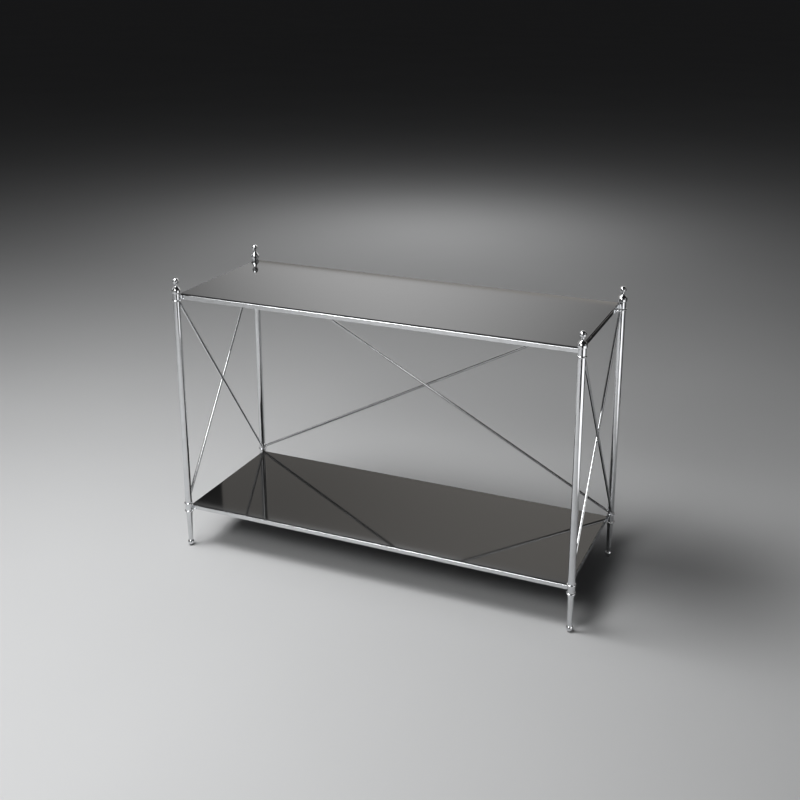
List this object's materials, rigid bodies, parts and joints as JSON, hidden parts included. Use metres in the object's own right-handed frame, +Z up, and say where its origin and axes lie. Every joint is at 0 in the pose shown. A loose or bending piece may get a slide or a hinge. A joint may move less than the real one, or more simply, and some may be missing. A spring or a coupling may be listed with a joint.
{
  "type": "console table",
  "caption": "Slim chrome-plated console table with turned finials and ball feet, black glass top and shelf, and crossed rods at the ends and back.",
  "frame": {"origin": "on the floor under the middle of the table", "axes": "+X along the length, towards the right end seen from the front; +Y towards the back; +Z up"},
  "size_m": [1.2184, 0.4564, 0.845],
  "materials": {
    "polished_chrome": "polished chrome plate",
    "black_glass": "opaque black glass, polished, with ground edges",
    "zinc_steel": "zinc-plated steel",
    "glide_plastic": "matte black nylon",
    "clear_rubber": "clear soft bumper"
  },
  "bodies": {
    "root": {"back_brace_rod_falling": "polished_chrome", "back_brace_rod_rising": "polished_chrome", "finial_back_left": "polished_chrome", "finial_back_right": "polished_chrome", "finial_front_left": "polished_chrome", "finial_front_right": "polished_chrome", "finial_stud_back_left": "zinc_steel", "finial_stud_back_right": "zinc_steel", "finial_stud_front_left": "zinc_steel", "finial_stud_front_right": "zinc_steel", "foot_back_left": "polished_chrome", "foot_back_right": "polished_chrome", "foot_front_left": "polished_chrome", "foot_front_right": "polished_chrome", "foot_stud_back_left": "zinc_steel", "foot_stud_back_right": "zinc_steel", "foot_stud_front_left": "zinc_steel", "foot_stud_front_right": "zinc_steel", "glide_back_left": "glide_plastic", "glide_back_right": "glide_plastic", "glide_front_left": "glide_plastic", "glide_front_right": "glide_plastic", "left_brace_rod_falling": "polished_chrome", "left_brace_rod_rising": "polished_chrome", "post_back_left": "polished_chrome", "post_back_right": "polished_chrome", "post_front_left": "polished_chrome", "post_front_right": "polished_chrome", "right_brace_rod_falling": "polished_chrome", "right_brace_rod_rising": "polished_chrome", "shelf_bumper_back_left": "clear_rubber", "shelf_bumper_back_right": "clear_rubber", "shelf_bumper_front_left": "clear_rubber", "shelf_bumper_front_right": "clear_rubber", "shelf_coupler_back_left": "polished_chrome", "shelf_coupler_back_right": "polished_chrome", "shelf_coupler_front_left": "polished_chrome", "shelf_coupler_front_right": "polished_chrome", "shelf_glass": "black_glass", "shelf_rail_back": "polished_chrome", "shelf_rail_front": "polished_chrome", "shelf_rail_left": "polished_chrome", "shelf_rail_right": "polished_chrome", "top_bumper_back_left": "clear_rubber", "top_bumper_back_right": "clear_rubber", "top_bumper_front_left": "clear_rubber", "top_bumper_front_right": "clear_rubber", "top_coupler_back_left": "polished_chrome", "top_coupler_back_right": "polished_chrome", "top_coupler_front_left": "polished_chrome", "top_coupler_front_right": "polished_chrome", "top_glass": "black_glass", "top_rail_back": "polished_chrome", "top_rail_front": "polished_chrome", "top_rail_left": "polished_chrome", "top_rail_right": "polished_chrome"}
  },
  "joints": []
}
